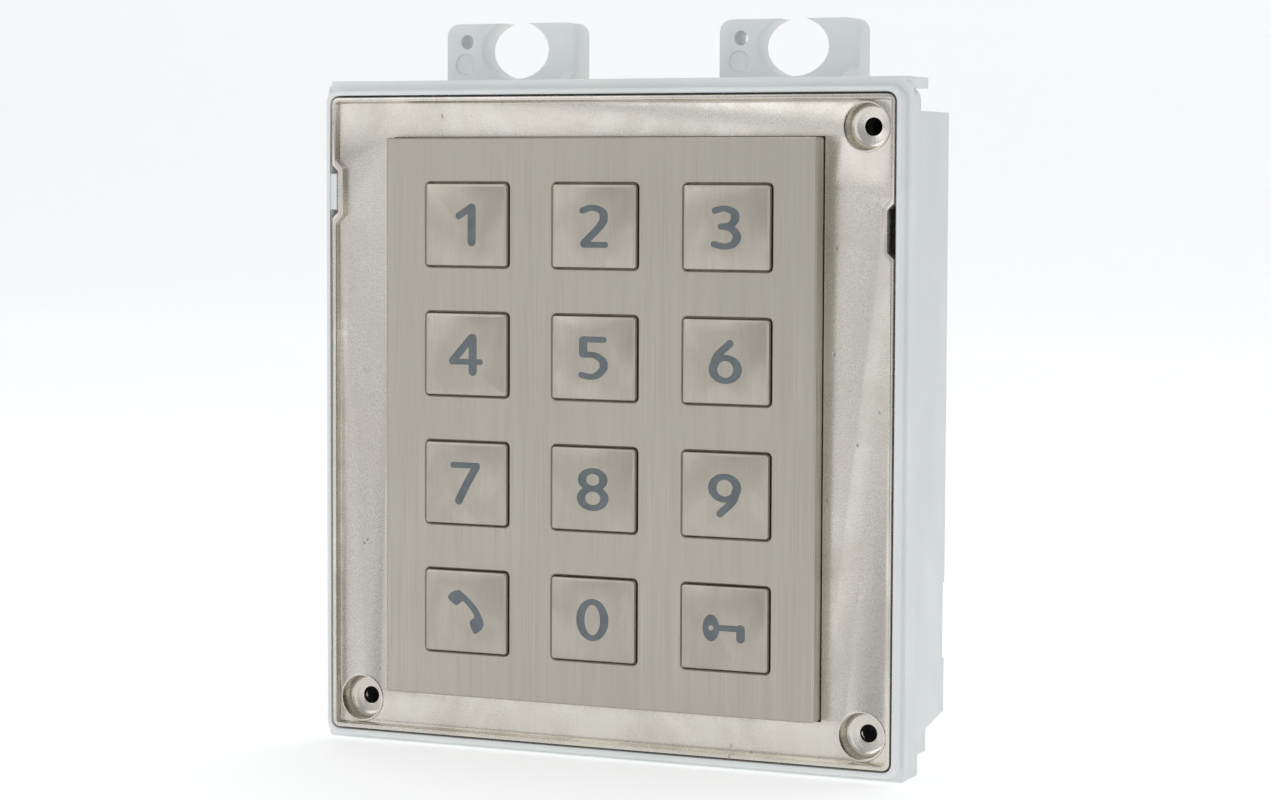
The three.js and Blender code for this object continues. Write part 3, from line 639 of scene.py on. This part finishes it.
def prism(outline, hole, front, back):
    # A flat shape with perhaps one hole, from its outlines, made solid along Y
    shape = bmesh.new()
    loops = [[shape.verts.new((p.x, front, p.y)) for p in edge] for edge in (outline, hole) if edge]
    edges = []
    for loop in loops:
        edges += [shape.edges.new((loop[i - 1], loop[i])) for i in range(len(loop))]
    bmesh.ops.triangle_fill(shape, use_beauty=True, use_dissolve=False, edges=edges)
    faces = list(shape.faces)
    raised = bmesh.ops.extrude_face_region(shape, geom=faces)
    verts = [g for g in raised["geom"] if isinstance(g, bmesh.types.BMVert)]
    bmesh.ops.translate(shape, verts=verts, vec=(0, back - front, 0))
    bmesh.ops.recalc_face_normals(shape, faces=shape.faces)
    bmesh.ops.scale(shape, verts=shape.verts, vec=(mm, mm, mm))
    mesh = bpy.data.meshes.new("prism")
    shape.to_mesh(mesh)
    shape.free()
    return addObject("prism", mesh)


def boolean(target, tool, operation):
    modifier = target.modifiers.new(operation, "BOOLEAN")
    modifier.operation = operation
    modifier.solver = "EXACT"
    modifier.object = tool
    applied(target)
    bpy.data.objects.remove(tool)
    return target


sixLoop = (0, -1.15, 2.05, 1.75)
sixTail = [(-1.98, -0.9), (-1.25, 0.95), (0.75, 2.8)]
legendShapes = {
    "1": {"strokes": [[(-1.25, 1.4), (0.8, 2.7)], [(1.05, 2.65), (1.05, -2.65)]]},
    "2": {"strokes": [
        [(-1.95, 2.4), (-0.3, 2.85), (1.3, 2.4), (1.75, 1.4), (1.2, 0.1), (-1.7, -2.7)],
        [(-1.75, -2.88), (2.05, -2.88)]]},
    "3": {"strokes": [
        [(-1.9, 2.55), (-0.3, 2.88), (1.2, 2.35), (1.45, 1.25), (0.6, 0.33), (-0.9, 0.13)],
        [(-0.5, 0.1), (0.9, -0.2), (1.8, -1.3), (1.2, -2.5), (-0.3, -2.9), (-2.05, -2.55)]]},
    "4": {"strokes": [
        [(1.25, 2.6), (1.25, -2.65)], [(0.95, 2.6), (-2.35, -1.05)],
        [(-2.4, -1.15), (2.6, -1.15)]]},
    "5": {"strokes": [
        [(-1.8, 2.88), (1.85, 2.88)], [(-1.72, 2.65), (-1.72, 0.75)],
        [(-1.8, 0.5), (0.2, 0.45), (1.6, -0.4), (1.75, -1.6), (0.6, -2.7), (-0.7, -2.9),
         (-2.05, -2.65)]]},
    "6": {"loops": [sixLoop], "strokes": [sixTail]},
    "7": {"strokes": [[(-2.25, 2.88), (2.1, 2.88)], [(1.9, 2.7), (0.15, -0.2), (-1.2, -2.75)]]},
    "8": {"loops": [(0, 1.5, 1.85, 1.38), (0, -1.4, 2.03, 1.5)]},
    "9": {"loops": [(0, 1.15, 2.05, 1.75)], "strokes": [[(-x, -z) for x, z in sixTail]]},
    "0": {"loops": [(0, 0, 2.07, 2.85)]},
    "call": {"outline": [
        (-3.1, 2.1), (-1.9, 1.1), (-1.4, 1.1), (-0.7, 1.6), (-0.3, 1.65), (0.6, 0.8), (1.65, -0.65),
        (0.9, -1.4), (0.85, -1.95), (1.4, -3.2), (1.9, -3.35), (2.85, -2.6), (3.2, -1.65), (2.75, -0.5),
        (2.1, 0.6), (0.85, 1.9), (-0.85, 3.25), (-1.4, 3.35), (-2.5, 2.95)]},
    "open": {"bow": (-2.15, 0, 1.35, 2.03, 0.45),
             "strokes": [[(-1, 0.05), (2.9, 0.05)], [(2.8, 0), (2.8, -1.4)]]},
}


def closedCurve(points, grow, steps=5):
    count = len(points)
    line = []
    for i in range(count):
        p0, p1, p2, p3 = (Vector(points[(i + k - 1) % count]) for k in range(4))
        for k in range(steps):
            at, along = curvePoint(p0, p1, p2, p3, k / steps)
            line.append(at + Vector((along.y, -along.x)) * grow)
    return line


def makeLegend(name, grow, front, back):
    shape = legendShapes[name]
    bodies = [prism(strokeOutline(points, grow), None, front, back)
              for points in shape.get("strokes", [])]
    halfHeavy = pen["heavy"] / 2 + grow
    halfLight = pen["light"] / 2 + grow
    for x, z, radiusX, radiusZ in shape.get("loops", []):
        outer = ellipseOutline(x, z, radiusX + halfHeavy, radiusZ + halfLight)
        inner = ellipseOutline(x, z, radiusX - halfHeavy, radiusZ - halfLight)
        bodies.append(prism(outer, inner, front, back))
    if "outline" in shape:
        bodies.append(prism(closedCurve(shape["outline"], grow), None, front, back))
    if "bow" in shape:
        x, z, radiusX, radiusZ, eye = shape["bow"]
        outer = ellipseOutline(x, z, radiusX + grow, radiusZ + grow)
        bodies.append(prism(outer, ellipseOutline(x, z, eye - grow, eye - grow), front, back))
    whole = bodies[0]
    for body in bodies[1:]:
        boolean(whole, body, "UNION")
    return whole


def moveTo(piece, centre, depth):
    piece.data.transform(Matrix.Translation((centre.x, depth, centre.z)))
    return piece


def finished(piece, finish):
    smoothShade(piece.data, keyAngle)
    piece.data.materials.clear()
    piece.data.materials.append(finishes[finish])
    return piece


def makeCap(name, tree):
    low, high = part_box("key_cap_" + name)
    centre = (low + high) / 2
    reach = capSizes["Flange Reach"] * mm
    cap = runTree(tree, "cap_" + name, {
        "Width": high.x - low.x - 2 * reach,
        "Height": high.z - low.z - 2 * reach,
        "Front": low.y,
        "Flange Back": low.y + capSizes["Depth"] * mm,
        "Stem Back": high.y,
        "Centre": (centre.x, 0.0, centre.z),
        "Material": finishes["key_nickel"],
        **{label: size * mm for label, size in capSizes.items()},
    })
    front = low.y / mm
    recess = makeLegend(name, pen["gap"], front - pen["above"], front + pen["inlay"] + pen["under"])
    boolean(cap, moveTo(recess, centre, 0.0), "DIFFERENCE")
    clean = bmesh.new()
    clean.from_mesh(cap.data)
    bmesh.ops.recalc_face_normals(clean, faces=clean.faces)
    clean.to_mesh(cap.data)
    clean.free()
    return finished(cap, "key_nickel"), centre, front


def makeInlay(name, centre, front):
    legend = makeLegend(name, 0.0, front, front + pen["inlay"])
    legend.name = "legend_" + name
    return finished(moveTo(legend, centre, pen["sunk"] * mm), "legend_resin")


capTree = makeCapTree()
for name in keyNames:
    cap, centre, front = makeCap(name, capTree)
    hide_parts("key_cap_" + name)
    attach(cap, "key_" + name)
    legend = makeInlay(name, centre, front)
    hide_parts("key_legend_" + name)
    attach(legend, "key_" + name)
print("keys made:", len(keyNames))


# Stage: a pale sweep under and behind the module
stageSizes = {"width": 5.0, "front": 2.5, "back": 1.2, "bend": 0.5, "height": 2.5, "steps": 12}


def makeSweep(sizes, floor):
    section = [(-sizes["front"], floor), (sizes["back"], floor)]
    for k in range(1, sizes["steps"] + 1):
        turn = math.pi / 2 * k / sizes["steps"]
        section.append((sizes["back"] + sizes["bend"] * math.sin(turn),
                        floor + sizes["bend"] * (1 - math.cos(turn))))
    section.append((sizes["back"] + sizes["bend"], floor + sizes["height"]))
    shape = bmesh.new()
    rows = [[shape.verts.new((side * sizes["width"] / 2, y, z)) for side in (-1, 1)]
            for y, z in section]
    for (a, b), (c, d) in zip(rows, rows[1:]):
        shape.faces.new((a, b, d, c))
    mesh = bpy.data.meshes.new("sweep")
    shape.to_mesh(mesh)
    shape.free()
    mesh.shade_smooth()
    return addObject("sweep", mesh)


sweep = makeSweep(stageSizes, cadBox[0].z)
paperFinish = {
    "Base Color": rgb(0.93, 0.93, 0.93),
    "Roughness": 0.9,
    "Emission Color": rgb(1.0, 1.0, 1.0),
    "Emission Strength": 0.36,
}
sweep.data.materials.append(newMaterial("paper", paperFinish)[0])

room = {"Color": rgb(0.95, 0.975, 1.0), "Strength": 0.45}
world = bpy.data.worlds.new("studio")
world.use_nodes = True
for socket, value in room.items():
    world.node_tree.nodes["Background"].inputs[socket].default_value = value
scene.world = world

softBoxes = [
    {"name": "key light", "at": (-0.75, -0.75, 0.55), "size": (0.9, 0.9), "power": 2.7},
    {"name": "front fill", "at": (0.5, -1.1, 0.35), "size": (0.8, 0.8), "power": 1.1},
    {"name": "side fill", "at": (1.0, -0.1, 0.3), "size": (0.6, 0.9), "power": 0.3},
    {"name": "top light", "at": (0.0, 0.1, 1.0), "size": (0.9, 0.7), "power": 1.7},
]
for box in softBoxes:
    lamp = bpy.data.lights.new(box["name"], "AREA")
    lamp.shape = "RECTANGLE"
    lamp.size, lamp.size_y = box["size"]
    lamp.energy = box["power"]
    lampObject = addObject(box["name"], lamp)
    lampObject.location = box["at"]
    lampObject.rotation_euler = (-Vector(box["at"])).to_track_quat("-Z", "Y").to_euler()
print("stage and lights set")

# Camera: where it stands, and its right, up and backward directions
camera = {
    "at": (0.22478, -0.49079, 0.03781),
    "right": (0.90619, 0.42285, 0.00389),
    "up": (-0.03113, 0.05754, 0.99786),
    "back": (0.42172, -0.90437, 0.06531),
    "lens": 94.80,
}
lens = bpy.data.cameras.new("camera")
lens.lens = camera["lens"]
lens.sensor_width = 36
lens.clip_start = 0.01
cameraObject = addObject("camera", lens)
turn = Matrix((camera["right"], camera["up"], camera["back"])).transposed()
cameraObject.matrix_world = Matrix.Translation(camera["at"]) @ turn.to_4x4()
scene.camera = cameraObject
scene.view_settings.view_transform = "Standard"
